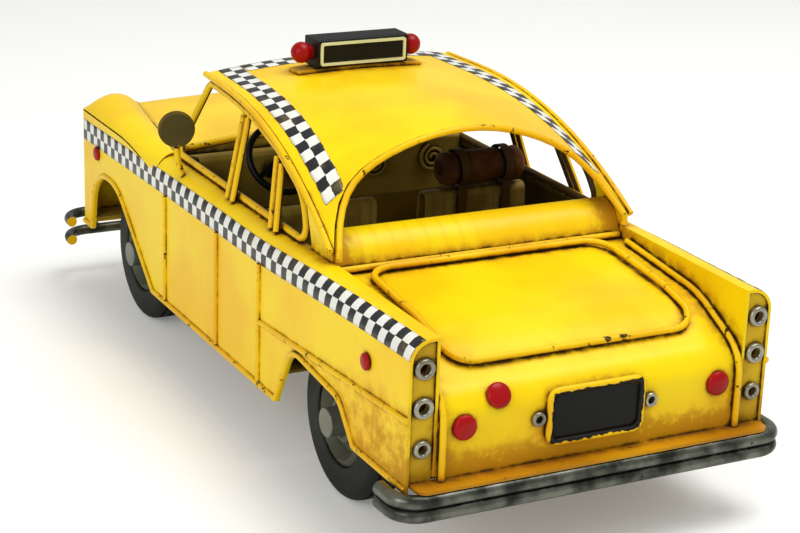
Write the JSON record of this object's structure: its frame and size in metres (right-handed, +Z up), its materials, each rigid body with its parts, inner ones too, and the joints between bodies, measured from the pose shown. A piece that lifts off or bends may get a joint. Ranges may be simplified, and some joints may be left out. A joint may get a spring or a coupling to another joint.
{
  "type": "toy taxi",
  "caption": "Yellow tin toy taxi with checked bands, open windows, roof sign and wire-beaded edges; the wheelsets roll and the steering wheel turns.",
  "frame": {"origin": "on the ground, in the middle of the length and width", "axes": "+X towards the nose, +Y towards the driver's side, +Z up"},
  "size_m": [0.2556, 0.1144, 0.1027],
  "materials": {
    "yellow_paint": "hand-brushed yellow gloss over tin, browned in the seams",
    "olive_paint": "dark olive-bronze, worn",
    "tan_paint": "tan, rubbed dark at the edges",
    "roll_leather": "brown, creased",
    "strap_leather": "dark brown",
    "black_enamel": "black gloss, chipped at the edges",
    "pale_enamel": "pale green cream",
    "red_enamel": "red gloss",
    "rivet_steel": "dull plated steel",
    "bumper_metal": "dark mottled plating",
    "mirror_bronze": "olive-bronze, rough",
    "axle_steel": "bare",
    "tyre_rubber": "charcoal, dusty",
    "wheel_steel": "grey, dull"
  },
  "bodies": {
    "body": {"floor_pan": "yellow_paint", "side_panel_left": "yellow_paint", "side_panel_right": "yellow_paint", "edge_beads": "yellow_paint", "door_beads": "yellow_paint", "bonnet": "yellow_paint", "fender_left": "yellow_paint", "fender_right": "yellow_paint", "bonnet_seam_wires": "yellow_paint", "nose_panel": "yellow_paint", "grille": "rivet_steel", "headlamp_bezels": "rivet_steel", "headlamp_lenses": "pale_enamel", "front_bumper": "bumper_metal", "bumper_brackets": "yellow_paint", "dashboard": "olive_paint", "dash_scrolls": "olive_paint", "windscreen_rails": "yellow_paint", "roof": "yellow_paint", "roof_gutters": "yellow_paint", "window_frame_left": "yellow_paint", "window_frame_right": "yellow_paint", "window_posts": "yellow_paint", "quarter_panels": "yellow_paint", "rear_window_bead": "yellow_paint", "rear_cowl": "yellow_paint", "boot_panel": "yellow_paint", "boot_lid_bead": "yellow_paint", "boot_edge_beads": "yellow_paint", "tail_lamp_plates": "yellow_paint", "tail_eyelets": "rivet_steel", "number_plate": "black_enamel", "plate_surround": "yellow_paint", "rear_reflectors": "red_enamel", "fuel_cap": "red_enamel", "side_markers": "red_enamel", "rear_valance": "yellow_paint", "rear_bumper": "bumper_metal", "sign_bracket": "yellow_paint", "sign_box": "black_enamel", "sign_panes": "pale_enamel", "sign_lamps": "red_enamel", "mirror_head": "mirror_bronze", "mirror_stem": "yellow_paint", "steering_column": "black_enamel", "driver_seat": "tan_paint", "passenger_seat": "tan_paint", "rear_seat": "tan_paint", "bed_roll": "roll_leather", "roll_straps": "strap_leather", "axle_brackets": "axle_steel"},
    "front_wheels": {"front_axle": "axle_steel", "front_tyres": "tyre_rubber", "front_rims": "wheel_steel", "front_hub_caps": "wheel_steel"},
    "rear_wheels": {"rear_axle": "axle_steel", "rear_tyres": "tyre_rubber", "rear_rims": "wheel_steel", "rear_hub_caps": "wheel_steel"},
    "steering": {"steering_wheel": "black_enamel"}
  },
  "joints": [
    {"name": "front_wheels_roll", "type": "hinge", "parent": "body", "child": "front_wheels", "pos_m": [0.0774, 0, 0.0215], "axis": [0, 1, 0], "continuous": true},
    {"name": "rear_wheels_roll", "type": "hinge", "parent": "body", "child": "rear_wheels", "pos_m": [-0.0704, 0, 0.0215], "axis": [0, 1, 0], "continuous": true},
    {"name": "steering_turn", "type": "hinge", "parent": "body", "child": "steering", "pos_m": [0.02922, 0.022, 0.0593], "axis": [-0.8192, 0, 0.5736], "continuous": true}
  ]
}
